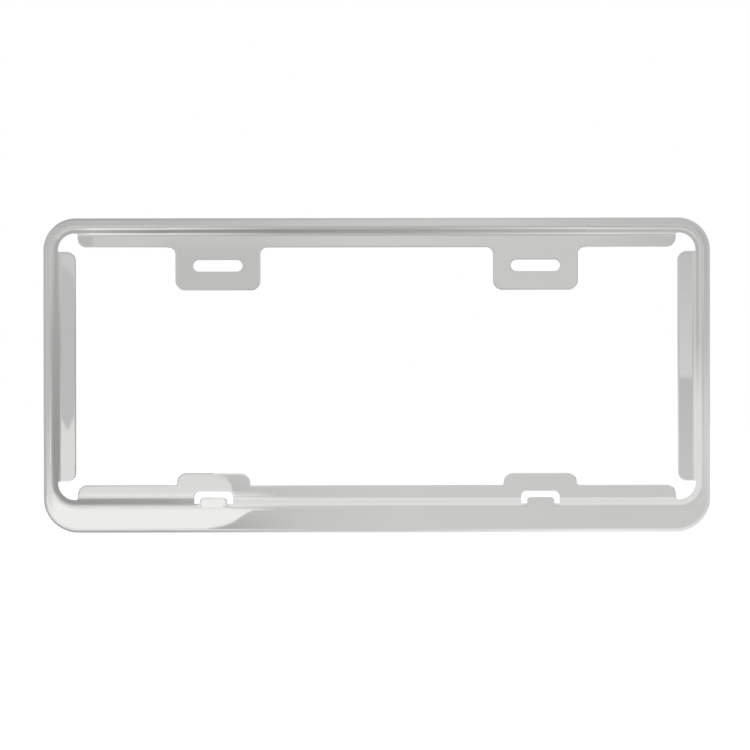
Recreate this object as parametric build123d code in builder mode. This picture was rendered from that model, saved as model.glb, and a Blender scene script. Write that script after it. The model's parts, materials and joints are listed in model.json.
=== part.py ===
from build123d import *

import os
from math import cos, radians, tan

# Number plate holder: a frame pressed and folded from one sheet of polished stainless steel.
# A bright face runs round the plate, with its outer edge turned back as a skirt. Inside, a
# drafted wall steps back to a narrow flange that carries the plate. The flange is notched out
# at the corners, two upper tabs have slots for the bolts that clamp plate and holder to the
# car, and two lower tabs have tongues lanced out of the wall, which hook the plate's edge.
#
# Millimetres. +X is right, +Z is up and the face looks along -Y. The origin is midway between
# the two bolt slots, on the rear side of the flange.

# Number plate, and its play in the pocket
plate_length = 380.0
plate_height = 160.0
end_play = 2.0
edge_play = 1.0

# Sheet, depth and draft
sheet = 0.8
pocket_depth = 3.2
wall_draft = 45.0
skirt_setback = 1.0

# Radii of the bends, measured on the side of the sheet that faces the viewer
edge_bend = 2.0
face_bend = 3.8
floor_bend = 3.5

# Face, from the middle of the wall out to the edge, and the corners of edge and wall
side_rail = 7.4
top_rail = 7.8
bottom_rail = 18.2
top_corner = 19.2
bottom_corner = 20.8
wall_corner = 11.5

# Flange, from the middle of the wall in to its edge, and the notches at its corners
side_flange = 12.0
top_flange = 9.8
bottom_flange = 10.0
flange_end_radius = 5.5
notch_along = 13.0
notch_down = 12.2
notch_lip = 1.2
strip_root_radius = 1.4
side_root_radius = 0.65

# Upper tabs and their bolt slots
slot_spacing = 190.0
slot_length = 29.5
slot_width = 6.8
slot_drop = 20.7
upper_tab_width = 50.9
upper_tab_drop = 35.4
upper_tab_root_radius = 4.0
upper_tab_tip_radius = 5.7

# Lower tabs, and the tongues lanced out of the wall in front of them
tongue_spacing = 195.5
tongue_width = 16.4
tongue_rise = 2.8
tongue_tip_radius = 2.5
lance_gap = 3.3
lance_foot = 1.0
lance_corner_radius = 3.2
lower_tab_width = 44.0
lower_tab_rise = 17.2
lower_tab_root_radius = 1.0
lower_tab_tip_radius = 5.7

# Pocket between the middles of its walls, with the slots on the line z = 0
pocket_length = plate_length + 2 * end_play
pocket_height = plate_height + 2 * edge_play
pocket_right = pocket_length / 2
pocket_top = slot_drop
pocket_bottom = pocket_top - pocket_height
pocket_centre = (pocket_top + pocket_bottom) / 2

# Whole frame
frame_length = pocket_length + 2 * side_rail
frame_height = pocket_height + top_rail + bottom_rail
frame_centre = pocket_centre + (top_rail - bottom_rail) / 2
face_front = sheet + pocket_depth

# How far the drafted wall leans out at the face, and where the flat of the lower face ends
wall_lean = pocket_depth / 2 * tan(radians(wall_draft))
wall_turn = radians(90 - wall_draft)
face_end = pocket_bottom - wall_lean - face_bend * tan(wall_turn / 2)

# Inner edges of the flange, the ends of its strips and the lips left in the notches
flange_right = pocket_right - side_flange
flange_top = pocket_top - top_flange
flange_bottom = pocket_bottom + bottom_flange
strip_right = pocket_right - notch_along
strip_top = pocket_top - notch_down
strip_bottom = pocket_bottom + notch_down
lip_right = pocket_right - notch_lip
lip_top = pocket_top - notch_lip
lip_bottom = pocket_bottom + notch_lip

# Sides and tips of the tabs
slot_places = [-slot_spacing / 2, slot_spacing / 2]
tongue_places = [-tongue_spacing / 2, tongue_spacing / 2]
upper_tab_sides = [x + side * upper_tab_width / 2 for x in slot_places for side in (-1, 1)]
lower_tab_sides = [x + side * lower_tab_width / 2 for x in tongue_places for side in (-1, 1)]
upper_tab_tip = pocket_top - upper_tab_drop
lower_tab_tip = pocket_bottom + lower_tab_rise

hanging = (Align.CENTER, Align.MAX)
standing = (Align.CENTER, Align.MIN)


def corners_at(sketch, places):
    """Corners of a sketch that lie at the given places."""
    return [sketch.vertices().sort_by_distance(place)[0] for place in places]


def pressing(inset, rear):
    """Solid from a rear plane up to a skin that lies inset behind the front of the sheet."""
    draft = radians(wall_draft)
    mouth_lean = wall_lean + inset / cos(draft) - inset * tan(draft)
    with BuildPart() as block:
        with BuildSketch(Plane.XZ.offset(rear)) as outline:
            with Locations((0, frame_centre)):
                Rectangle(frame_length - 2 * inset, frame_height - 2 * inset)
            fillet(outline.vertices().group_by(Axis.Y)[-1], top_corner - inset)
            fillet(outline.vertices().group_by(Axis.Y)[0], bottom_corner - inset)
        extrude(amount=face_front - inset - rear)
        fillet(block.faces().sort_by(Axis.Y)[0].edges(), edge_bend - inset)

        with BuildSketch(Plane.XZ.offset(face_front - inset)) as mouth:
            with Locations((0, pocket_centre)):
                Rectangle(pocket_length + 2 * mouth_lean, pocket_height + 2 * mouth_lean)
            fillet(mouth.vertices(), wall_corner + mouth_lean)
        extrude(amount=-pocket_depth, taper=wall_draft, mode=Mode.SUBTRACT)
        face, floor = block.faces().filter_by(Axis.Y).sort_by(Axis.Y)[:2]
        fillet(face.inner_wires()[0].edges(), face_bend - inset)
        fillet(floor.edges(), floor_bend + inset)
    return block.part


with BuildPart() as plate_frame:
    # Sheet, between its front skin and its rear skin
    add(pressing(0, 0))
    add(pressing(sheet, -pocket_depth), mode=Mode.SUBTRACT)

    # Skirt cut back, so that the flange alone bears on the car
    with BuildSketch(Plane.XZ):
        with Locations((0, frame_centre)):
            Rectangle(frame_length, frame_height)
        with Locations((0, pocket_centre)):
            RectangleRounded(
                pocket_length + side_rail, pocket_height + side_rail, wall_corner + side_rail / 2,
                mode=Mode.SUBTRACT,
            )
    extrude(amount=skirt_setback, mode=Mode.SUBTRACT)

    # Window inside the flange, which leaves the four strips of the flange and their tabs
    with BuildSketch(Plane.XZ) as window:
        with Locations((0, pocket_centre)):
            RectangleRounded(2 * lip_right, lip_top - lip_bottom, wall_corner - notch_lip)
        with Locations((0, pocket_top)):
            Rectangle(2 * strip_right, top_flange, align=hanging, mode=Mode.SUBTRACT)
        with Locations((0, pocket_bottom)):
            Rectangle(2 * strip_right, bottom_flange, align=standing, mode=Mode.SUBTRACT)
        with Locations((-pocket_right, pocket_centre), (pocket_right, pocket_centre)):
            Rectangle(2 * side_flange, strip_top - strip_bottom, mode=Mode.SUBTRACT)
        with Locations([(x, pocket_top) for x in slot_places]):
            Rectangle(upper_tab_width, upper_tab_drop, align=hanging, mode=Mode.SUBTRACT)
        with Locations([(x, pocket_bottom) for x in tongue_places]):
            Rectangle(lower_tab_width, lower_tab_rise, align=standing, mode=Mode.SUBTRACT)

        fillet(corners_at(window, [(x, flange_top) for x in upper_tab_sides]), upper_tab_root_radius)
        fillet(corners_at(window, [(x, upper_tab_tip) for x in upper_tab_sides]), upper_tab_tip_radius)
        fillet(corners_at(window, [(x, flange_bottom) for x in lower_tab_sides]), lower_tab_root_radius)
        fillet(corners_at(window, [(x, lower_tab_tip) for x in lower_tab_sides]), lower_tab_tip_radius)
        for side in (-1, 1):
            strip_ends = [
                (side * strip_right, flange_top),
                (side * strip_right, flange_bottom),
                (side * flange_right, strip_top),
                (side * flange_right, strip_bottom),
            ]
            strip_roots = [(side * strip_right, lip_top), (side * strip_right, lip_bottom)]
            side_roots = [(side * lip_right, strip_top), (side * lip_right, strip_bottom)]
            fillet(corners_at(window, strip_ends), flange_end_radius)
            fillet(corners_at(window, strip_roots), strip_root_radius)
            fillet(corners_at(window, side_roots), side_root_radius)
    extrude(amount=face_front, mode=Mode.SUBTRACT)

    # Bolt slots in the upper tabs
    with BuildSketch(Plane.XZ):
        with Locations([(x, 0) for x in slot_places]):
            SlotOverall(slot_length, slot_width)
    extrude(amount=face_front, mode=Mode.SUBTRACT)

    # Lanced openings round the tongues
    with BuildSketch(Plane.XZ) as lances:
        with Locations([(x, pocket_bottom - lance_foot) for x in tongue_places]):
            Rectangle(
                tongue_width + 2 * lance_gap, lance_foot + tongue_rise + lance_gap, align=standing
            )
        fillet(lances.vertices().group_by(Axis.Y)[-1], lance_corner_radius)
    extrude(amount=face_front, mode=Mode.SUBTRACT)

    # Tongues, left standing in the plane of the face
    with BuildSketch(Plane.XZ.offset(face_front)) as tongues:
        with Locations([(x, face_end) for x in tongue_places]):
            Rectangle(tongue_width, pocket_bottom + tongue_rise - face_end, align=standing)
        fillet(tongues.vertices().group_by(Axis.Y)[-1], tongue_tip_radius)
    extrude(amount=-sheet)

plate_frame.part.label = "plate_frame"

os.makedirs("parts", exist_ok=True)
export_step(plate_frame.part, "parts/plate_frame.step")
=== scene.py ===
import json
import math

import bpy
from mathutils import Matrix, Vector
from mathutils.geometry import delaunay_2d_cdt


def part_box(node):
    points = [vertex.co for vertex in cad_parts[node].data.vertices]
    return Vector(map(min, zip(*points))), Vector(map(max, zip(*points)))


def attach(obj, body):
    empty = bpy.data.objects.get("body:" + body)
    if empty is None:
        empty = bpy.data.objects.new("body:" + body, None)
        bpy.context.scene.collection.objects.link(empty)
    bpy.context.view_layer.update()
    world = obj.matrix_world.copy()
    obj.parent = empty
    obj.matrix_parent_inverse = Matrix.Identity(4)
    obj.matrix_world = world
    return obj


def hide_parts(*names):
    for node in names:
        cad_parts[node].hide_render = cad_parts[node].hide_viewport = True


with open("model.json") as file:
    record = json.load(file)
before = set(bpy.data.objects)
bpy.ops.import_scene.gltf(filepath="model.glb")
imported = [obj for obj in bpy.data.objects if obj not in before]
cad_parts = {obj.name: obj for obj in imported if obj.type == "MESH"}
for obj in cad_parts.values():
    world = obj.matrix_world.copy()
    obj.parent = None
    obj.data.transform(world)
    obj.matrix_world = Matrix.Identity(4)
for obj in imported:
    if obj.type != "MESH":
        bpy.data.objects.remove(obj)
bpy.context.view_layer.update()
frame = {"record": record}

# Number plate holder, made here the way its maker makes it: a flat blank is cut from stainless
# sheet, its inner edge is pressed back and its outer edge folded over, and it is then polished.
# Metres, in the row's frame: +X is right, +Z is up and the face looks along -Y.

MM = 0.001
QUARTER_TURN = math.pi / 2

# Whole frame and bolt slots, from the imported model
low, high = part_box("plate_frame")
slots = next(m for m in frame["record"]["mounts"] if m["name"] == "bolt_slots")["dims"]
slot_place = slots["spacing_x_mm"] * MM / 2
slot_length = slots["slot_length_mm"] * MM
slot_width = 2 * slots["hole_r_mm"] * MM

# Sheet and bends, with each radius measured on the side that faces the viewer
sheet = 0.8 * MM
wall_draft = math.radians(45)
skirt_setback = 1.0 * MM
edge_bend = 2.0 * MM
face_bend = 3.8 * MM
floor_bend = 3.5 * MM
crown_radius = 1500 * MM
roll_width = 0.8 * MM
roll_depth = 0.09 * MM

# Face, from the middle of the wall out to the edge, and the corners of edge and wall
side_rail = 7.4 * MM
top_rail = 7.8 * MM
bottom_rail = 18.2 * MM
top_corner = 19.2 * MM
bottom_corner = 20.8 * MM
wall_corner = 11.5 * MM

# Flange, from the middle of the wall in to its edge, and the notches at its corners
side_flange = 12.0 * MM
top_flange = 9.8 * MM
bottom_flange = 10.0 * MM
flange_end_radius = 5.5 * MM
notch_along = 13.0 * MM
notch_down = 12.2 * MM
notch_lip = 1.2 * MM
strip_root_radius = 1.4 * MM
side_root_radius = 0.65 * MM

# Upper tabs, lower tabs, and the tongues lanced out of the wall in front of the lower ones
upper_tab_half = 25.45 * MM
upper_tab_drop = 35.4 * MM
upper_tab_root_radius = 4.0 * MM
tab_tip_radius = 5.7 * MM
tongue_place = 97.75 * MM
tongue_half = 8.2 * MM
tongue_rise = 2.8 * MM
tongue_tip_radius = 2.5 * MM
lance_gap = 3.3 * MM
lance_foot = 1.0 * MM
lance_corner_radius = 3.2 * MM
lower_tab_half = 22.0 * MM
lower_tab_rise = 17.2 * MM
lower_tab_root_radius = 1.0 * MM

# Pocket between the middles of its walls
pocket_depth = -low.y - sheet
pocket_right = high.x - side_rail
pocket_top = high.z - top_rail
pocket_bottom = low.z + bottom_rail

# Bend lines, as distances out from the middle of the wall
wall_turn = QUARTER_TURN - wall_draft
wall_lean = pocket_depth / 2 * math.tan(wall_draft)
face_line = wall_lean + face_bend * math.tan(wall_turn / 2)
floor_line = -wall_lean - floor_bend * math.tan(wall_turn / 2)
wall_start = face_line - face_bend * math.sin(wall_turn)
wall_end = floor_line + floor_bend * math.sin(wall_turn)

# Skirt, as distances out from the line where the edge starts to fold
fold_length = edge_bend * QUARTER_TURN
skirt_end = fold_length - low.y - edge_bend - skirt_setback

# Spacing of the mesh's points along straight runs, round corners and beside the bend lines
RUN = 4.0 * MM
CORNER_STEPS = 12
SMALL_CORNER = 1.0 * MM
SMALL_CORNER_STEPS = 4
FACE_BEND_STEPS = 12
FLOOR_BEND_STEPS = 11
EDGE_BEND_STEPS = 9
BESIDE_BEND = 0.35 * MM
ROLL_ROWS = 4
CROWN_ROWS = 9
MERGE = 0.03 * MM
SAME_POINT = 1e-7
SHARP_EDGE = math.radians(45)

# Finish of the metal: patches of haze, and rolling lines so many times as long as wide
haze_patch = 30 * MM
line_width = 0.7 * MM
LINE_STRETCH = 60

# Camera, which looks along +Y at the middle of the frame
CAMERA_DISTANCE = 2.0
CAMERA_ROLL = math.radians(0.095)
SENSOR_WIDTH = 36.0
view_width = 448.2 * MM
view_x = -1.1 * MM
view_z = (low.z + high.z) / 2

# Floor's half width and glow, and the light of the room, where 1 is white
FLOOR_REACH = 4.0
FLOOR_GLOW = 0.45
ROOM_LIGHT = 0.8

# Cards and lamps in front of the pocket: their distances from its walls at the corners, below the
# upper tabs and above the lower ones, which keep them clear of the metal. Then their reach towards
# the camera as a multiple of that, and the shares of the reach at which a level is given. The far
# ones carry the collar on past its reach
CORNER_INSET = 12.5 * MM
UPPER_INSET = 40 * MM
LOWER_INSET = 20 * MM
COLLAR_REACH = 6.55
COLLAR_SHARES = (0.0, 0.085, 0.165, 0.33, 1.0)
UPPER_SHARES = (0.0, 0.06, 0.12, 0.3, 1.0)
FAR_SHARES = (1.0, 3.5)
CARD_OVERLAP = 2 * MM
CARD_ROWS = 8


def add_node(tree, kind, inputs=None, **settings):
    """Adds a node with its settings, and sets its inputs to values or links them to nodes."""
    node = tree.nodes.new(kind)
    for name, value in settings.items():
        setattr(node, name, value)
    for key, value in (inputs or {}).items():
        if isinstance(value, bpy.types.Node):
            value = value.outputs[0]
        if isinstance(value, bpy.types.NodeSocket):
            tree.links.new(value, node.inputs[key])
        else:
            node.inputs[key].default_value = value
    return node


def linear(hex_colour):
    """Linear colour of an sRGB hex value, as Blender's sockets take it."""
    parts = [int(hex_colour[i : i + 2], 16) / 255 for i in (1, 3, 5)]
    return [p / 12.92 if p <= 0.04045 else ((p + 0.055) / 1.055) ** 2.4 for p in parts] + [1.0]


def rounded(corners):
    """Points round a closed outline, given as square corners (x, z, radius)."""
    points = []
    for i, (x, z, radius) in enumerate(corners):
        corner = Vector((x, z))
        back = (Vector(corners[i - 1][:2]) - corner).normalized()
        ahead = (Vector(corners[(i + 1) % len(corners)][:2]) - corner).normalized()
        steps = CORNER_STEPS if radius > SMALL_CORNER else SMALL_CORNER_STEPS if radius else 0
        turns = [QUARTER_TURN * step / steps for step in range(steps + 1)] if steps else [0]
        arc = [
            corner + radius * (back * (1 - math.sin(t)) + ahead * (1 - math.cos(t))) for t in turns
        ]
        points.append(arc)

    outline = []
    for arc, following in zip(points, points[1:] + points[:1]):
        run = following[0] - arc[-1]
        count = max(1, round(run.length / RUN))
        outline += arc + [arc[-1] + run * step / count for step in range(1, count)]
    return outline


def rectangle(right, bottom, top, lower_radius, upper_radius):
    """Points round a rectangle with rounded corners, centred on x = 0."""
    return rounded([
        (-right, bottom, lower_radius),
        (right, bottom, lower_radius),
        (right, top, upper_radius),
        (-right, top, upper_radius),
    ])


def set_back(corners, back):
    """Corners of an opening, moved back into the sheet all round."""
    moved = []
    for i, (x, z, radius) in enumerate(corners):
        corner = Vector((x, z))
        before = (corner - Vector(corners[i - 1][:2])).normalized()
        after = (Vector(corners[(i + 1) % len(corners)][:2]) - corner).normalized()
        out = Vector((before.y + after.y, -before.x - after.x))
        turn = before.x * after.y - before.y * after.x
        moved.append((x + back * out.x, z + back * out.y, radius + back * turn))
    return moved


def bend_line(out):
    """Line round the pocket, at a distance out from the middle of the wall."""
    radius = wall_corner + out
    return rectangle(pocket_right + out, pocket_bottom - out, pocket_top + out, radius, radius)


def edge_line(out):
    """Line round the frame, at a distance out from where the edge starts to fold."""
    grow = out - edge_bend
    return rectangle(
        high.x + grow, low.z - grow, high.z + grow, bottom_corner + grow, top_corner + grow
    )


def window_corners():
    """Opening inside the flange, with the tabs and the notches at the corners."""
    strip_right = pocket_right - notch_along
    flange_right = pocket_right - side_flange
    flange_top = pocket_top - top_flange
    flange_bottom = pocket_bottom + bottom_flange
    lip_right = pocket_right - notch_lip
    upper_tip = pocket_top - upper_tab_drop
    lower_tip = pocket_bottom + lower_tab_rise
    lip_radius = wall_corner - notch_lip
    right_half = [
        (tongue_place - lower_tab_half, flange_bottom, lower_tab_root_radius),
        (tongue_place - lower_tab_half, lower_tip, tab_tip_radius),
        (tongue_place + lower_tab_half, lower_tip, tab_tip_radius),
        (tongue_place + lower_tab_half, flange_bottom, lower_tab_root_radius),
        (strip_right, flange_bottom, flange_end_radius),
        (strip_right, pocket_bottom + notch_lip, strip_root_radius),
        (lip_right, pocket_bottom + notch_lip, lip_radius),
        (lip_right, pocket_bottom + notch_down, side_root_radius),
        (flange_right, pocket_bottom + notch_down, flange_end_radius),
        (flange_right, pocket_top - notch_down, flange_end_radius),
        (lip_right, pocket_top - notch_down, side_root_radius),
        (lip_right, pocket_top - notch_lip, lip_radius),
        (strip_right, pocket_top - notch_lip, strip_root_radius),
        (strip_right, flange_top, flange_end_radius),
        (slot_place + upper_tab_half, flange_top, upper_tab_root_radius),
        (slot_place + upper_tab_half, upper_tip, tab_tip_radius),
        (slot_place - upper_tab_half, upper_tip, tab_tip_radius),
        (slot_place - upper_tab_half, flange_top, upper_tab_root_radius),
    ]
    left_half = [(-x, z, radius) for x, z, radius in reversed(right_half)]
    return right_half + left_half


def slot_corners(place):
    """Full-round slot for a plate bolt."""
    radius = slot_width / 2
    left, right = place - slot_length / 2, place + slot_length / 2
    return [
        (left, -radius, radius), (right, -radius, radius),
        (right, radius, radius), (left, radius, radius),
    ]


def lance_corners(place):
    """Gap cut round a tongue, like an upturned U."""
    inner, outer = tongue_half, tongue_half + lance_gap
    foot = pocket_bottom - lance_foot
    tip = pocket_bottom + tongue_rise
    return [
        (place - outer, foot, 0),
        (place - inner, foot, 0),
        (place - inner, tip, tongue_tip_radius),
        (place + inner, tip, tongue_tip_radius),
        (place + inner, foot, 0),
        (place + outer, foot, 0),
        (place + outer, tip + lance_gap, lance_corner_radius),
        (place - outer, tip + lance_gap, lance_corner_radius),
    ]


def openings():
    """Openings of the blank."""
    slots = [slot_corners(place) for place in (-slot_place, slot_place)]
    lances = [lance_corners(place) for place in (-tongue_place, tongue_place)]
    return [window_corners()] + slots + lances


def marked_lines():
    """Lines of the press, the fold and the rolled-over cuts, which the blank's mesh follows."""
    face_turns = [wall_turn * i / FACE_BEND_STEPS for i in range(FACE_BEND_STEPS + 1)]
    floor_turns = [wall_turn * i / FLOOR_BEND_STEPS for i in range(FLOOR_BEND_STEPS + 1)]
    pressed = [face_line + BESIDE_BEND, floor_line - BESIDE_BEND]
    pressed += [face_line - face_bend * math.sin(turn) for turn in face_turns]
    pressed += [floor_line + floor_bend * math.sin(turn) for turn in floor_turns]
    folded = [-BESIDE_BEND, fold_length + BESIDE_BEND]
    folded += [fold_length * i / EDGE_BEND_STEPS for i in range(EDGE_BEND_STEPS + 1)]
    rolled = [roll_width * i / ROLL_ROWS for i in range(1, ROLL_ROWS + 1)] + [roll_width + BESIDE_BEND]
    lines = [bend_line(out) for out in pressed] + [edge_line(out) for out in folded]
    return lines + [rounded(set_back(corners, back)) for corners in openings() for back in rolled]


def crown_points():
    """Rows of points on the broad lower face, which is slightly crowned."""
    foot = low.z + edge_bend
    rise = pocket_bottom - face_line - foot
    half = pocket_right - wall_corner
    count = round(2 * half / RUN)
    return [
        Vector((half * (2 * column / count - 1), foot + rise * row / CROWN_ROWS))
        for row in range(1, CROWN_ROWS)
        for column in range(count + 1)
    ]


def outside(x, z, right, bottom, top, lower_radius, upper_radius):
    """Distance of a point outside a rounded rectangle, and the way straight out of it."""
    radius = upper_radius if z > (bottom + top) / 2 else lower_radius
    past_side = abs(x) - right + radius
    past_end = abs(z - (bottom + top) / 2) - (top - bottom) / 2 + radius
    way = Vector((max(past_side, 0), max(past_end, 0)))
    distance = way.length + min(max(past_side, past_end), 0) - radius
    way = way.normalized() if way.length else Vector((0, 0))
    return distance, (math.copysign(way.x, x), 0, math.copysign(way.y, z - (bottom + top) / 2))


def held_back(x, z):
    """How far a point keeps to the face's plane: 1 on a tongue, less beside its foot, then 0."""
    aside = abs(abs(x) - tongue_place) - tongue_half
    if aside < MERGE:
        return 1.0 if z < pocket_bottom + tongue_rise + MERGE else 0.0
    return max(1 - aside / lance_gap, 0.0) if z < pocket_bottom - lance_foot + MERGE else 0.0


def cut_blank():
    """Flat blank as a mesh, with each point's distance from the bend lines marked on it."""
    cuts = [edge_line(skirt_end)] + [rounded(corners) for corners in openings()]
    points, edges, faces = crown_points(), [], []
    for outline in cuts + marked_lines():
        ring = list(range(len(points), len(points) + len(outline)))
        points += outline
        if len(faces) < len(cuts):
            faces.append(ring)
        else:
            edges += zip(ring, ring[1:] + ring[:1])
    found, _, triangles, _, _, inside = delaunay_2d_cdt(points, edges, faces, 0, SAME_POINT, True)
    kept = [triangle for triangle, cut in zip(triangles, inside) if cut == [0]]

    mesh = bpy.data.meshes.new("blank")
    mesh.from_pydata([(p.x, 0, p.y) for p in found], [], kept)
    wall = (pocket_right, pocket_bottom, pocket_top, wall_corner, wall_corner)
    fold = (
        high.x - edge_bend, low.z + edge_bend, high.z - edge_bend,
        bottom_corner - edge_bend, top_corner - edge_bend,
    )
    past_edge = [outside(p.x, p.y, *fold) for p in found]
    marks = {
        "from_wall": [outside(p.x, p.y, *wall)[0] for p in found],
        "past_edge": [distance for distance, _ in past_edge],
        "held": [held_back(p.x, p.y) for p in found],
    }
    for name, values in marks.items():
        mesh.attributes.new(name, "FLOAT", "POINT").data.foreach_set("value", values)
    ways = [part for _, way in past_edge for part in way]
    mesh.attributes.new("edge_way", "FLOAT_VECTOR", "POINT").data.foreach_set("vector", ways)
    return mesh


def press_tree():
    """Geometry nodes that press the blank's inner edge back and fold its outer edge over."""
    tree = bpy.data.node_groups.new("press and fold", "GeometryNodeTree")
    tree.interface.new_socket("Sheet", in_out="INPUT", socket_type="NodeSocketGeometry")
    sizes = (
        "Face Plane", "Face Bend", "Face Line", "Wall Start", "Wall Width", "Wall Slope",
        "Floor Bend", "Floor Line", "Wall Turn", "Edge Bend", "Crown Radius", "Roll Width", "Roll Depth",
    )
    for name in sizes:
        tree.interface.new_socket(name, in_out="INPUT", socket_type="NodeSocketFloat")
    tree.interface.new_socket("Metal", in_out="INPUT", socket_type="NodeSocketMaterial")
    tree.interface.new_socket("Sheet", in_out="OUTPUT", socket_type="NodeSocketGeometry")

    given = add_node(tree, "NodeGroupInput").outputs
    named = "GeometryNodeInputNamedAttribute"
    from_wall = add_node(tree, named, {"Name": "from_wall"}, data_type="FLOAT")
    past_edge = add_node(tree, named, {"Name": "past_edge"}, data_type="FLOAT")
    held = add_node(tree, named, {"Name": "held"}, data_type="FLOAT")
    edge_way = add_node(tree, named, {"Name": "edge_way"}, data_type="FLOAT_VECTOR")
    sine = add_node(tree, "ShaderNodeMath", {0: given["Wall Turn"]}, operation="SINE")
    cosine = add_node(tree, "ShaderNodeMath", {0: given["Wall Turn"]}, operation="COSINE")

    # Bend from the face into the wall: a round arc, from nothing at the face line
    reach = add_node(tree, "ShaderNodeMath", {0: given["Face Bend"], 1: sine}, operation="MULTIPLY")
    turned = add_node(tree, "ShaderNodeMath", {0: given["Face Line"], 1: from_wall}, operation="SUBTRACT")
    turned = add_node(tree, "ShaderNodeClamp", {"Value": turned, "Min": 0.0, "Max": reach})
    square = add_node(tree, "ShaderNodeMath", {0: given["Face Bend"], 1: 2.0}, operation="POWER")
    across = add_node(tree, "ShaderNodeMath", {0: turned, 1: 2.0}, operation="POWER")
    left = add_node(tree, "ShaderNodeMath", {0: square, 1: across}, operation="SUBTRACT")
    rise = add_node(tree, "ShaderNodeMath", {0: left}, operation="SQRT")
    face_drop = add_node(tree, "ShaderNodeMath", {0: given["Face Bend"], 1: rise}, operation="SUBTRACT")

    # Straight wall
    run = add_node(tree, "ShaderNodeMath", {0: given["Wall Start"], 1: from_wall}, operation="SUBTRACT")
    run = add_node(tree, "ShaderNodeClamp", {"Value": run, "Min": 0.0, "Max": given["Wall Width"]})
    wall_drop = add_node(tree, "ShaderNodeMath", {0: run, 1: given["Wall Slope"]}, operation="MULTIPLY")

    # Bend from the wall into the flange: the same arc the other way round
    reach = add_node(tree, "ShaderNodeMath", {0: given["Floor Bend"], 1: sine}, operation="MULTIPLY")
    turned = add_node(tree, "ShaderNodeMath", {0: from_wall, 1: given["Floor Line"]}, operation="SUBTRACT")
    turned = add_node(tree, "ShaderNodeClamp", {"Value": turned, "Min": 0.0, "Max": reach})
    square = add_node(tree, "ShaderNodeMath", {0: given["Floor Bend"], 1: 2.0}, operation="POWER")
    across = add_node(tree, "ShaderNodeMath", {0: turned, 1: 2.0}, operation="POWER")
    left = add_node(tree, "ShaderNodeMath", {0: square, 1: across}, operation="SUBTRACT")
    rise = add_node(tree, "ShaderNodeMath", {0: left}, operation="SQRT")
    start = add_node(tree, "ShaderNodeMath", {0: given["Floor Bend"], 1: cosine}, operation="MULTIPLY")
    floor_drop = add_node(tree, "ShaderNodeMath", {0: rise, 1: start}, operation="SUBTRACT")

    # The step is all three, and the tongues are left out of it
    step = add_node(tree, "ShaderNodeMath", {0: face_drop, 1: wall_drop}, operation="ADD")
    step = add_node(tree, "ShaderNodeMath", {0: step, 1: floor_drop}, operation="ADD")
    free = add_node(tree, "ShaderNodeMath", {0: 1.0, 1: held}, operation="SUBTRACT")
    step = add_node(tree, "ShaderNodeMath", {0: step, 1: free}, operation="MULTIPLY")

    # Crown of the face, highest midway between the two bends
    inner = add_node(tree, "ShaderNodeMath", {0: from_wall, 1: given["Face Line"]}, operation="SUBTRACT")
    inner = add_node(tree, "ShaderNodeMath", {0: inner, 1: 0.0}, operation="MAXIMUM")
    outer = add_node(tree, "ShaderNodeMath", {0: past_edge, 1: 0.0}, operation="MINIMUM")
    crown = add_node(tree, "ShaderNodeMath", {0: inner, 1: outer}, operation="MULTIPLY")
    crown = add_node(tree, "ShaderNodeMath", {0: crown, 1: given["Crown Radius"]}, operation="DIVIDE")
    crown = add_node(tree, "ShaderNodeMath", {0: crown, 1: 0.5}, operation="MULTIPLY")

    # Cuts rolled over, as the punch draws the sheet's edge in
    merged = add_node(
        tree, "GeometryNodeMergeByDistance", {"Geometry": given["Sheet"], "Distance": MERGE}
    )
    neighbours = add_node(tree, "GeometryNodeInputMeshEdgeNeighbors")
    is_cut = add_node(tree, "ShaderNodeMath", {0: neighbours, 1: 1.0, 2: 0.5}, operation="COMPARE")
    cuts = add_node(
        tree, "GeometryNodeSeparateGeometry", {"Geometry": merged, "Selection": is_cut}, domain="EDGE"
    )
    from_cut = add_node(tree, "GeometryNodeProximity", {0: cuts}, target_element="EDGES").outputs["Distance"]
    roll = add_node(tree, "ShaderNodeMath", {0: from_cut, 1: given["Roll Width"]}, operation="DIVIDE")
    roll = add_node(tree, "ShaderNodeMath", {0: 1.0, 1: roll}, operation="SUBTRACT")
    roll = add_node(tree, "ShaderNodeMath", {0: roll, 1: 0.0}, operation="MAXIMUM")
    roll = add_node(tree, "ShaderNodeMath", {0: roll, 1: 2.0}, operation="POWER")
    roll = add_node(tree, "ShaderNodeMath", {0: roll, 1: given["Roll Depth"]}, operation="MULTIPLY")
    inside = add_node(tree, "ShaderNodeMath", {0: past_edge, 1: 0.0}, operation="LESS_THAN")
    roll = add_node(tree, "ShaderNodeMath", {0: roll, 1: inside}, operation="MULTIPLY")

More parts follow.
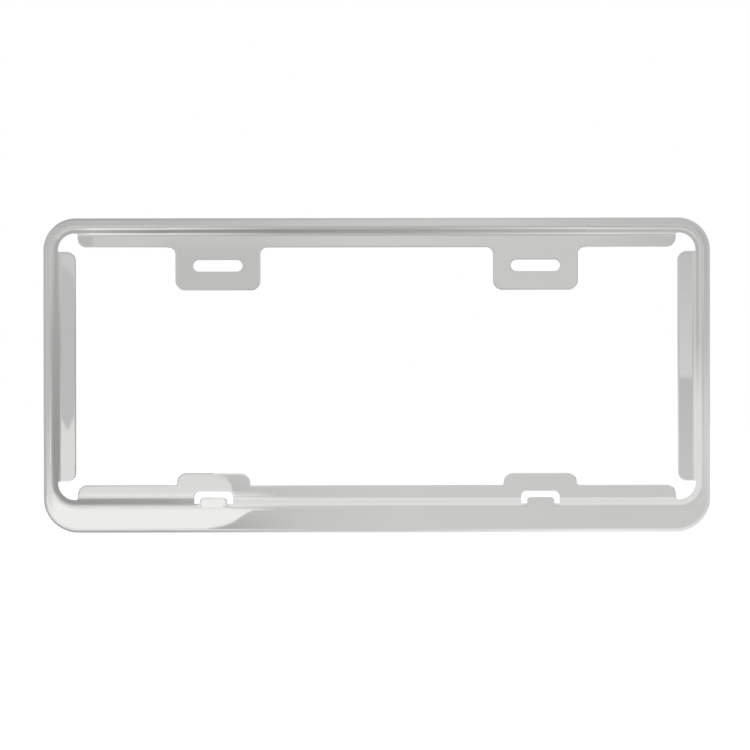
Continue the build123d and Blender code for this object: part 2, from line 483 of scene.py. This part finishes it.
    # Fold of the edge: a quarter turn, then straight back as the skirt
    past = add_node(tree, "ShaderNodeMath", {0: past_edge, 1: 0.0}, operation="MAXIMUM")
    angle = add_node(tree, "ShaderNodeMath", {0: past, 1: given["Edge Bend"]}, operation="DIVIDE")
    turn = add_node(tree, "ShaderNodeMath", {0: angle, 1: QUARTER_TURN}, operation="MINIMUM")
    beyond = add_node(tree, "ShaderNodeMath", {0: angle, 1: turn}, operation="SUBTRACT")
    cosine = add_node(tree, "ShaderNodeMath", {0: turn}, operation="COSINE")
    fall = add_node(tree, "ShaderNodeMath", {0: 1.0, 1: cosine}, operation="SUBTRACT")
    fall = add_node(tree, "ShaderNodeMath", {0: fall, 1: beyond}, operation="ADD")
    fall = add_node(tree, "ShaderNodeMath", {0: fall, 1: given["Edge Bend"]}, operation="MULTIPLY")
    out = add_node(tree, "ShaderNodeMath", {0: turn}, operation="SINE")
    out = add_node(tree, "ShaderNodeMath", {0: out, 1: given["Edge Bend"]}, operation="MULTIPLY")
    out = add_node(tree, "ShaderNodeMath", {0: out, 1: past}, operation="SUBTRACT")
    drawn_in = add_node(tree, "ShaderNodeVectorMath", {0: edge_way, "Scale": out}, operation="SCALE")

    depth = add_node(tree, "ShaderNodeMath", {0: given["Face Plane"], 1: step}, operation="ADD")
    depth = add_node(tree, "ShaderNodeMath", {0: depth, 1: crown}, operation="ADD")
    depth = add_node(tree, "ShaderNodeMath", {0: depth, 1: fall}, operation="ADD")
    depth = add_node(tree, "ShaderNodeMath", {0: depth, 1: roll}, operation="ADD")
    moved = add_node(tree, "ShaderNodeCombineXYZ", {"Y": depth})
    moved = add_node(tree, "ShaderNodeVectorMath", {0: moved, 1: drawn_in}, operation="ADD")
    shaped = add_node(tree, "GeometryNodeSetPosition", {"Geometry": merged, "Offset": moved})
    shaped = add_node(tree, "GeometryNodeSetShadeSmooth", {"Geometry": shaped})
    shaped = add_node(tree, "GeometryNodeRealizeInstances", {"Geometry": shaped})
    shaped = add_node(
        tree, "GeometryNodeSetMaterial", {"Geometry": shaped, "Material": given["Metal"]}
    )
    add_node(tree, "NodeGroupOutput", {"Sheet": shaped})
    return tree


def pressed_frame(metal):
    """The holder: blank, press and fold, and the thickness of the sheet."""
    blank = bpy.data.objects.new("blank", cut_blank())
    bpy.context.scene.collection.objects.link(blank)
    tree = press_tree()
    press = blank.modifiers.new("press and fold", "NODES")
    press.node_group = tree
    sizes = {
        "Face Plane": low.y,
        "Face Bend": face_bend,
        "Face Line": face_line,
        "Wall Start": wall_start,
        "Wall Width": wall_start - wall_end,
        "Wall Slope": 1 / math.tan(wall_draft),
        "Floor Bend": floor_bend,
        "Floor Line": floor_line,
        "Wall Turn": wall_turn,
        "Edge Bend": edge_bend,
        "Crown Radius": crown_radius,
        "Roll Width": roll_width,
        "Roll Depth": roll_depth,
        "Metal": metal,
    }
    for name, value in sizes.items():
        press[tree.interface.items_tree[name].identifier] = value

    thickness = blank.modifiers.new("sheet", "SOLIDIFY")
    thickness.thickness = sheet
    thickness.offset = -1
    thickness.use_even_offset = True

    made = blank.evaluated_get(bpy.context.evaluated_depsgraph_get())
    mesh = bpy.data.meshes.new_from_object(made)
    bpy.data.objects.remove(blank)
    for name in ("from_wall", "past_edge", "held", "edge_way"):
        mesh.attributes.remove(mesh.attributes[name])
    mesh.set_sharp_from_angle(angle=SHARP_EDGE)
    piece = bpy.data.objects.new("pressed_frame", mesh)
    bpy.context.scene.collection.objects.link(piece)
    return piece


def polished_stainless():
    """Stainless steel sheet, cold rolled, pressed and then buffed on a soft wheel.

    The eye sees a neutral grey mirror. Reflections are plain but slightly soft, and hazier in
    patches where the wheel has lingered. Close up, the rolling leaves faint lines along the sheet.
    """
    metal = bpy.data.materials.new("polished_stainless_steel")
    metal.use_nodes = True
    tree = metal.node_tree
    shader = tree.nodes["Principled BSDF"]
    shader.inputs["Metallic"].default_value = 1.0
    place = add_node(tree, "ShaderNodeTexCoord").outputs["Object"]

    # Haze of the buffing wheel, in patches a wheel's face wide
    haze = add_node(tree, "ShaderNodeTexNoise", {"Vector": place, "Scale": 1 / haze_patch, "Detail": 2.0})
    roughness = add_node(
        tree, "ShaderNodeMapRange",
        {"Value": haze, "From Min": 0.3, "From Max": 0.7, "To Min": 0.012, "To Max": 0.03},
    )
    tree.links.new(roughness.outputs[0], shader.inputs["Roughness"])

    # Lines of the rolling. Real ones are finer than 0.1 mm, and they are drawn 0.7 mm wide, as
    # coarse as they need to be to show
    along = add_node(tree, "ShaderNodeMapping", {"Vector": place, "Scale": (1 / LINE_STRETCH, 1.0, 1.0)})
    lines = add_node(tree, "ShaderNodeTexNoise", {"Vector": along, "Scale": 1 / line_width, "Detail": 2.0})
    grain = add_node(tree, "ShaderNodeMapRange", {"Value": lines, "From Min": 0.3, "From Max": 0.7})
    tint = add_node(
        tree, "ShaderNodeMix", {"Factor": grain, "A": linear("#C5C5C4"), "B": linear("#C7C7C6")},
        data_type="RGBA",
    )
    tree.links.new(tint.outputs["Result"], shader.inputs["Base Color"])
    return metal


def stage_floor():
    """Pale paper under the holder, white to the camera, with the holder's shadow.

    The metal doesn't see it, because it sees the low cards there.
    """
    mesh = bpy.data.meshes.new("floor")
    corners = [(-1, -1), (1, -1), (1, 1), (-1, 1)]
    mesh.from_pydata([(x * FLOOR_REACH, y * FLOOR_REACH, low.z) for x, y in corners], [], [(0, 1, 2, 3)])
    floor = bpy.data.objects.new("floor", mesh)
    bpy.context.scene.collection.objects.link(floor)

    paper = bpy.data.materials.new("matt_white_paper")
    paper.use_nodes = True
    tree = paper.node_tree
    tree.nodes.clear()
    matt = add_node(tree, "ShaderNodeBsdfDiffuse", {"Color": linear("#E8E8E6")})
    rays = add_node(tree, "ShaderNodeLightPath").outputs
    seen = {0: rays["Is Camera Ray"], 1: rays["Is Glossy Ray"]}
    seen = add_node(tree, "ShaderNodeMath", seen, operation="ADD")
    seen = add_node(tree, "ShaderNodeMath", {0: seen, 1: rays["Is Transmission Ray"]}, operation="ADD")
    glow = add_node(tree, "ShaderNodeMath", {0: seen, 1: FLOOR_GLOW}, operation="MULTIPLY")
    white = add_node(tree, "ShaderNodeEmission", {"Strength": glow})
    both = add_node(tree, "ShaderNodeAddShader", {0: matt, 1: white})
    add_node(tree, "ShaderNodeOutputMaterial", {"Surface": both})
    mesh.materials.append(paper)
    floor.visible_glossy = False


def studio_world():
    """White all round, for the camera and in the metal, and a little dimmer as light."""
    world = bpy.data.worlds.new("white studio")
    bpy.context.scene.world = world
    world.use_nodes = True
    tree = world.node_tree
    tree.nodes.clear()
    rays = add_node(tree, "ShaderNodeLightPath").outputs
    seen = {0: rays["Is Camera Ray"], 1: rays["Is Glossy Ray"]}
    seen = add_node(tree, "ShaderNodeMath", seen, operation="ADD")
    seen = add_node(tree, "ShaderNodeMath", {0: seen, 1: rays["Is Transmission Ray"]}, operation="ADD")
    white = linear("#FFFFFF")
    light = add_node(tree, "ShaderNodeBackground", {"Color": white, "Strength": ROOM_LIGHT})
    shown = add_node(tree, "ShaderNodeBackground", {"Color": white, "Strength": 1.0})
    mixed = add_node(tree, "ShaderNodeMixShader", {0: seen, 1: light, 2: shown})
    add_node(tree, "ShaderNodeOutputWorld", {"Surface": mixed})


def card(name, points, faces, levels):
    """Card or lamp that only the metal sees, from its front, as bright at each point as its level.

    A level of 1 is white.
    """
    mesh = bpy.data.meshes.new(name)
    mesh.from_pydata(points, [], faces)
    mesh.attributes.new("level", "FLOAT", "POINT").data.foreach_set("value", levels)
    obj = bpy.data.objects.new(name, mesh)
    bpy.context.scene.collection.objects.link(obj)
    obj.visible_camera = obj.visible_diffuse = obj.visible_shadow = False

    cloth = bpy.data.materials.new(name)
    cloth.use_nodes = True
    tree = cloth.node_tree
    tree.nodes.clear()
    level = add_node(tree, "ShaderNodeAttribute", attribute_name="level").outputs["Fac"]
    glow = add_node(tree, "ShaderNodeEmission", {"Strength": level})
    clear = add_node(tree, "ShaderNodeBsdfTransparent")
    behind = add_node(tree, "ShaderNodeNewGeometry").outputs["Backfacing"]
    one_sided = add_node(tree, "ShaderNodeMixShader", {0: behind, 1: glow, 2: clear})
    add_node(tree, "ShaderNodeOutputMaterial", {"Surface": one_sided})
    mesh.materials.append(cloth)


def graded_card(name, place, first, last, shares):
    """Card whose levels are given at shares of the way along it, for its first side and its last."""
    points, levels = [], []
    for row in range(CARD_ROWS + 1):
        part = row / CARD_ROWS
        points += [place(share, part) for share in shares]
        levels += [a + (b - a) * part for a, b in zip(first, last)]
    count = len(shares)
    faces = [
        (at, at + 1, at + 1 + count, at + count)
        for row in range(CARD_ROWS)
        for at in range(row * count, row * count + count - 1)
    ]
    card(name, points, faces, levels)


def panel(name, corner, along, up, first, last=None, shares=(0.0, 1.0)):
    """Oblong card, seen from the side where along turns anticlockwise into up."""

    def place(share, part):
        return Vector(corner) + Vector(along) * share + Vector(up) * part

    graded_card(name, place, first, last or first, shares)


def collar_card(name, inset, start, end, first, last, shares=COLLAR_SHARES):
    """Card in front of the pocket for one run of its wall, which spreads as the camera's view does."""

    def place(share, part):
        x, z = Vector(start).lerp(Vector(end), part)
        ahead = COLLAR_REACH * inset * share
        spread = math.hypot(inset, ahead) / CAMERA_DISTANCE
        if start[0] == end[0]:
            z += (z - view_z) * spread
        else:
            x += (x - view_x) * spread
        return x, -sheet - ahead, z

    graded_card(name, place, first, last, shares)


def shaped_card(name, depth, level, outline):
    """Card or lamp beside the camera, with its outline given clockwise as the camera sees it."""
    card(name, [(x, depth, z) for x, z in outline], [range(len(outline))], [level] * len(outline))


def camera():
    """Square to the face and level with its middle, with the photograph's framing."""
    data = bpy.data.cameras.new("camera")
    data.sensor_width = SENSOR_WIDTH
    data.lens = SENSOR_WIDTH * CAMERA_DISTANCE / view_width
    obj = bpy.data.objects.new("camera", data)
    obj.location = (view_x, low.y - CAMERA_DISTANCE, view_z)
    obj.rotation_euler = (QUARTER_TURN, CAMERA_ROLL, 0)
    bpy.context.scene.collection.objects.link(obj)
    bpy.context.scene.camera = obj


bpy.context.scene.view_settings.view_transform = "Standard"

piece = pressed_frame(polished_stainless())
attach(piece, "root")
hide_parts("plate_frame")

stage_floor()
studio_world()

# Far cards, which the outer edges see
panel(
    "overhead_card", (-1.6, 1.0, 0.8), (3.2, 0, 0), (0, -2.8, 0),
    (0.68, 0.7, 0.95, 0.86, 0.86), shares=(0.0, 0.43, 0.515, 0.57, 1.0),
)
panel("left_card", (-0.9, -2.3, -0.8), (0, 3.3, 0), (0, 0, 1.8), (0.82, 0.82))
panel("right_card", (0.9, 1.0, -0.8), (0, -3.3, 0), (0, 0, 0.68), (1.12, 1.12))
panel("upper_right_card", (0.9, 1.0, -0.12), (0, -3.3, 0), (0, 0, 0.12), (1.12, 1.12), (0.87, 0.87))
panel("high_right_card", (0.9, 1.0, 0.0), (0, -3.3, 0), (0, 0, 0.8), (0.87, 0.87))
panel(
    "back_card", (-0.9, 1.0, -0.3), (1.8, 0, 0), (0, 0, 1.1),
    (0.7, 0.95, 1.15, 1.0), (0.62, 0.7, 0.9, 0.9), (0.0, 0.35, 0.65, 1.0),
)
low_shares = (0.0, 0.35, 0.43, 0.475, 0.51, 0.57, 0.62, 1.0)
low_front = (0.7, 1.42, 1.42, 1.0, 1.02, 1.36, 1.3, 0.95)
low_rear = (0.6, 0.7, 0.7, 1.02, 1.1, 1.44, 1.3, 0.8)
panel("low_front_lamp", (-1.0, -0.88, -0.3), (2.0, 0, 0), (0, 0.68, 0), low_front, shares=low_shares)
panel("low_card", (-1.0, -0.2, -0.3), (2.0, 0, 0), (0, 0.06, 0), low_front, low_rear, low_shares)
panel("low_rear_card", (-1.0, -0.14, -0.3), (2.0, 0, 0), (0, 1.14, 0), low_rear, shares=low_shares)

# Cards and lamps beside the camera, which the flats see
beside = low.y - CAMERA_DISTANCE
farther = beside - 0.05
farthest = beside - 0.1
shaped_card("front_left_lamp", beside, 1.49, [
    (-0.75, -0.214), (-0.147, -0.214), (-0.155, -0.222), (-0.164, -0.236), (-0.171, -0.247),
    (-0.18, -0.256), (-0.191, -0.261), (-0.21, -0.267), (-0.25, -0.29), (-0.32, -0.34), (-0.75, -0.34),
])
shaped_card("front_left_upper_lamp", beside, 1.23, [
    (-0.386, -0.214), (-0.386, -0.11), (-0.376, -0.118), (-0.369, -0.132), (-0.363, -0.118),
    (-0.355, -0.105), (-0.352, -0.18), (-0.215, -0.18), (-0.189, -0.184), (-0.178, -0.19),
    (-0.173, -0.198), (-0.172, -0.214),
])
panel(
    "front_left_blend_card", (-0.172, beside + 0.01, -0.214), (-0.214, 0, 0), (0, 0, 0.01),
    (1.49, 1.49), (1.23, 1.23),
)
panel(
    "front_tip_card", (-0.12, beside + 0.01, -0.214), (-0.052, 0, 0), (0, 0, 0.01),
    (0.98, 1.4, 1.49), (0.97, 0.97, 1.0), (0.0, 0.5, 1.0),
)
shaped_card("front_left_card", farther, 0.87, [
    (-0.53, -0.14), (-0.53, 0.25), (-0.389, 0.25), (-0.388, 0.072), (-0.375, 0.064),
    (-0.36, 0.047), (-0.33, 0.043), (-0.33, -0.14),
])
panel(
    "front_left_rail_card", (-0.386, beside + 0.01, -0.1), (0, 0, -0.135), (-0.06, 0, 0),
    (0.87, 1.05, 1.2, 1.49), shares=(0.0, 0.6, 0.78, 1.0),
)
panel(
    "front_corner_card", (-0.366, farther + 0.01, 0.088), (-0.09, 0, 0), (0, 0, 0.07),
    (0.87, 0.87), (0.74, 0.74),
)
panel("front_strip_end_card", (-0.343, farther, 0.07), (-0.019, 0, 0), (0, 0, 0.045), (0.83, 0.83))
panel(
    "front_low_card", (0.3, farther, -0.3), (-0.5, 0, 0), (0, 0, 0.13),
    (1.0, 1.05, 0.97, 0.55), (1.0, 1.03, 0.98, 0.97), (0.0, 0.54, 0.78, 1.0),
)
panel(
    "front_window_card", (0.35, farthest, 0.03), (0, 0, -0.205), (-0.7, 0, 0),
    (0.98, 0.82, 1.0), (0.9, 0.66, 1.4), (0.0, 0.3, 1.0),
)
panel(
    "front_top_left_card", (0.0, farthest, 0.106), (-1.0, 0, 0), (0, 0, 0.5),
    (1.0, 0.84, 0.84), shares=(0.0, 0.25, 1.0),
)
panel(
    "front_top_right_card", (1.0, farthest, 0.106), (-0.85, 0, 0), (0, 0, 0.5),
    (0.86, 0.87, 1.0), shares=(0.0, 0.8, 1.0),
)
panel(
    "front_top_card", (0.37, farther, 0.086), (-0.47, 0, 0), (0, 0, 0.022),
    (0.87, 0.97, 1.0, 1.0, 1.055, 1.0), (0.87, 0.97, 1.01, 1.02, 1.055, 1.0),
    (0.0, 0.17, 0.27, 0.49, 0.787, 1.0),
)
panel(
    "front_right_card", (1.0, farther, 0.515), (0, 0, -0.815), (-0.615, 0, 0),
    (0.77, 0.78, 0.88, 1.08, 1.1, 1.0, 1.0), shares=(0.0, 0.5, 0.68, 0.75, 0.84, 0.89, 1.0),
)
panel("right_flange_card", (0.384, beside, -0.215), (-0.027, 0, 0), (0, 0, 0.146), (0.98, 0.98), (0.84, 0.84))
panel("right_flange_lamp", (0.384, beside, -0.069), (-0.027, 0, 0), (0, 0, 0.16), (1.08, 1.08), (0.88, 0.88))
tab_shares = (0.0, 0.2, 0.8, 1.0)
tab_level, edge_level = (1.0, 0.9, 0.9, 1.0), (1.0, 1.0, 1.0, 1.0)
panel("left_tab_card", (-0.1, farther, 0.02), (-0.18, 0, 0), (0, 0, 0.068), tab_level, shares=tab_shares)
panel(
    "left_tab_upper_card", (-0.1, farther, 0.088), (-0.18, 0, 0), (0, 0, 0.016),
    tab_level, edge_level, tab_shares,
)

# Collar of cards and lamps in front of the pocket, each seen by one run of the wall and its bends.
# Lines that they stand on, beside the side walls and then above and below
side = pocket_right - CORNER_INSET
top, bottom = pocket_top - CORNER_INSET, pocket_bottom + CORNER_INSET
over, under = pocket_top - UPPER_INSET, pocket_bottom + LOWER_INSET

# Places where one card ends and the next begins, up the sides and then along the top and bottom
left_foot, side_change, right_foot = -115 * MM, -45 * MM, -83 * MM
run_end = side + CARD_OVERLAP
inset_change, past_change = 125 * MM, 175 * MM
streak, middle_left, middle_right = -170 * MM, -60 * MM, 20 * MM
lamp_end = -50 * MM

# Levels of the collar, from the flange's side out towards the camera
grey, dark = (0.64, 0.64, 0.65, 0.7, 0.82), (0.54, 0.54, 0.56, 0.64, 0.95)
bright, shaded = (1.22, 1.26, 1.3, 1.13, 1.0), (0.62, 0.64, 0.8, 0.97, 1.42)
lit, flared = (0.8, 0.82, 0.92, 1.02, 1.42), (1.22, 1.28, 1.36, 1.42, 1.46)
edged = (0.53, 0.56, 0.76, 0.95, 1.42)
far_grey, far_bright = (0.9, 0.9), (1.45, 1.45)
soft, even = (0.68, 0.78, 0.98, 0.93, 0.87), (0.72, 0.94, 1.05, 0.92, 0.88)
streaked, hollow = (0.55, 0.95, 1.65, 0.98, 0.72), (0.28, 0.68, 1.34, 0.86, 0.65)
fading, deep = (0.42, 0.8, 1.45, 0.86, 0.65), (0.48, 0.58, 0.8, 0.8, 0.7)
dim, rising = (0.62, 0.66, 0.78, 0.8, 0.75), (0.72, 0.95, 1.36, 0.85, 0.68)
settled = (0.72, 0.94, 1.1, 0.86, 0.72)

collar_card("left_wall_foot_card", CORNER_INSET, (-side, pocket_bottom), (-side, left_foot), edged, dark)
collar_card("left_wall_card", CORNER_INSET, (-side, left_foot), (-side, side_change), dark, grey)
collar_card("left_wall_upper_card", CORNER_INSET, (-side, side_change), (-side, pocket_top), grey, soft)
collar_card("right_wall_card", CORNER_INSET, (side, pocket_top), (side, side_change), even, even)
collar_card("right_wall_middle_card", CORNER_INSET, (side, side_change), (side, right_foot), even, bright)
collar_card("right_wall_lamp", CORNER_INSET, (side, right_foot), (side, pocket_bottom), bright, bright)
collar_card("lower_right_lamp", CORNER_INSET, (run_end, bottom), (inset_change, bottom), bright, bright)
collar_card("lower_wall_lamp", LOWER_INSET, (inset_change, under), (lamp_end, under), bright, bright)
collar_card("lower_wall_left_lamp", LOWER_INSET, (lamp_end, under), (-tongue_place, under), bright, flared)
collar_card("lower_wall_card", LOWER_INSET, (-tongue_place, under), (-inset_change, under), lit, shaded)
collar_card("lower_left_card", CORNER_INSET, (-inset_change, bottom), (-run_end, bottom), shaded, edged)
collar_card(
    "lower_far_lamp", LOWER_INSET, (lamp_end, under), (-tongue_place, under),
    far_grey, far_bright, FAR_SHARES,
)
collar_card(
    "tongue_far_lamp", LOWER_INSET, (-tongue_place, under), (-inset_change, under),
    far_bright, far_bright, FAR_SHARES,
)
collar_card(
    "left_far_lamp", CORNER_INSET, (-inset_change, bottom), (-run_end, bottom),
    far_bright, far_bright, FAR_SHARES,
)
collar_card(
    "upper_corner_card", CORNER_INSET, (-run_end, top), (streak, top),
    soft, streaked, UPPER_SHARES,
)
collar_card(
    "upper_left_card", CORNER_INSET, (streak, top), (-inset_change, top),
    streaked, hollow, UPPER_SHARES,
)
collar_card(
    "below_left_card", UPPER_INSET, (-past_change, over), (-inset_change, over),
    streaked, fading, UPPER_SHARES,
)
collar_card(
    "upper_wall_left_card", UPPER_INSET, (-inset_change, over), (middle_left, over),
    fading, deep, UPPER_SHARES,
)
collar_card(
    "upper_wall_card", UPPER_INSET, (middle_left, over), (middle_right, over),
    deep, dim, UPPER_SHARES,
)
collar_card(
    "upper_wall_right_card", UPPER_INSET, (middle_right, over), (inset_change, over),
    dim, rising, UPPER_SHARES,
)
collar_card(
    "below_right_card", UPPER_INSET, (inset_change, over), (past_change, over),
    rising, settled, UPPER_SHARES,
)
collar_card(
    "upper_right_corner_card", CORNER_INSET, (inset_change, top), (run_end, top),
    rising, settled, UPPER_SHARES,
)
camera()
